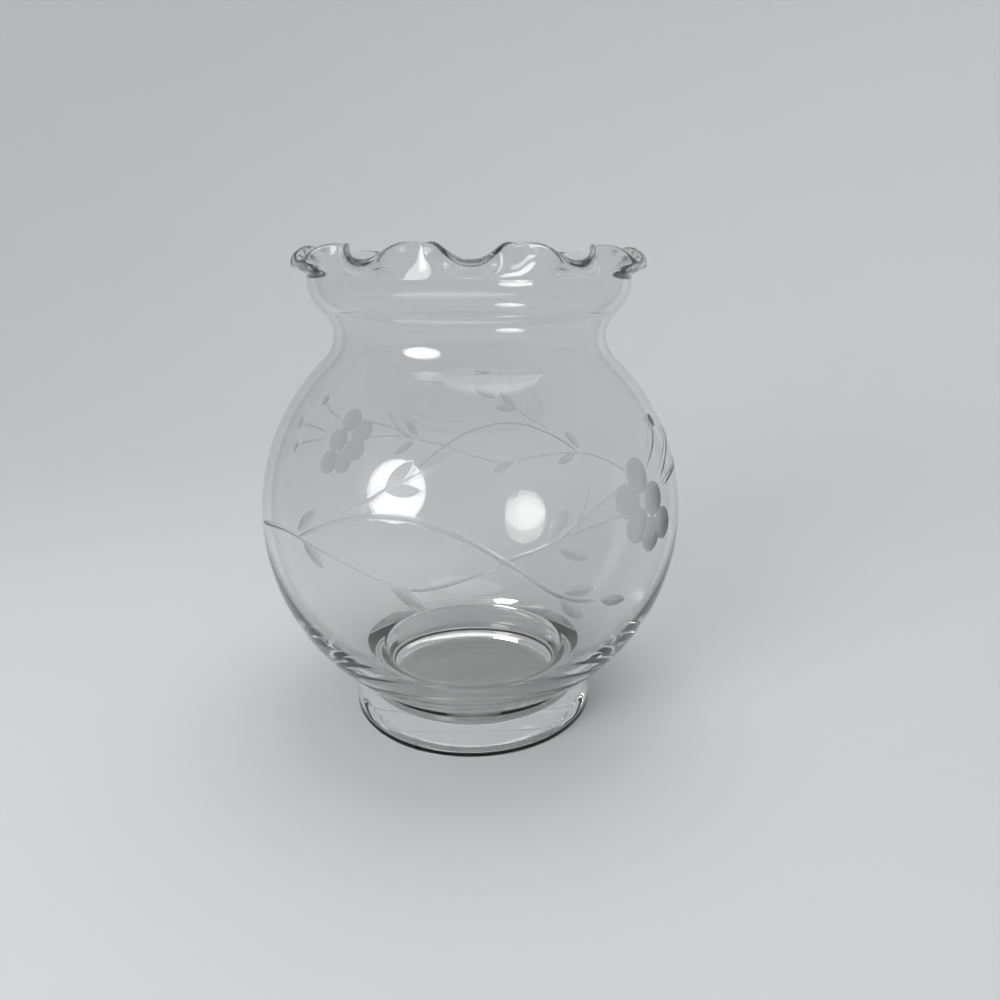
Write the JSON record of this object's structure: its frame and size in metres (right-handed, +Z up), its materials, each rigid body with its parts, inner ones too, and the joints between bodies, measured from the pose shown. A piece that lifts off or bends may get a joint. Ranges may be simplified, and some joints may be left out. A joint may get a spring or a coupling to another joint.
{
  "type": "rose bowl vase",
  "caption": "Round clear glass rose bowl on a low foot ring, with a drawn-in neck, an upright collar, a crimped lip and wheel-cut flower sprays; holds cut flowers.",
  "frame": {"origin": "middle of the ring that the vase stands on, at the table", "axes": "+Z up along the vase's axis, the front of one cut spray towards -Y, +X to its right"},
  "size_m": [0.1244, 0.1244, 0.14],
  "materials": {
    "clear_glass": "clear and fire-polished, with ground grey cuts on the globe"
  },
  "bodies": {
    "root": {"foot_ring": "clear_glass", "bowl": "clear_glass", "neck_collar": "clear_glass", "crimped_lip": "clear_glass"}
  },
  "joints": []
}
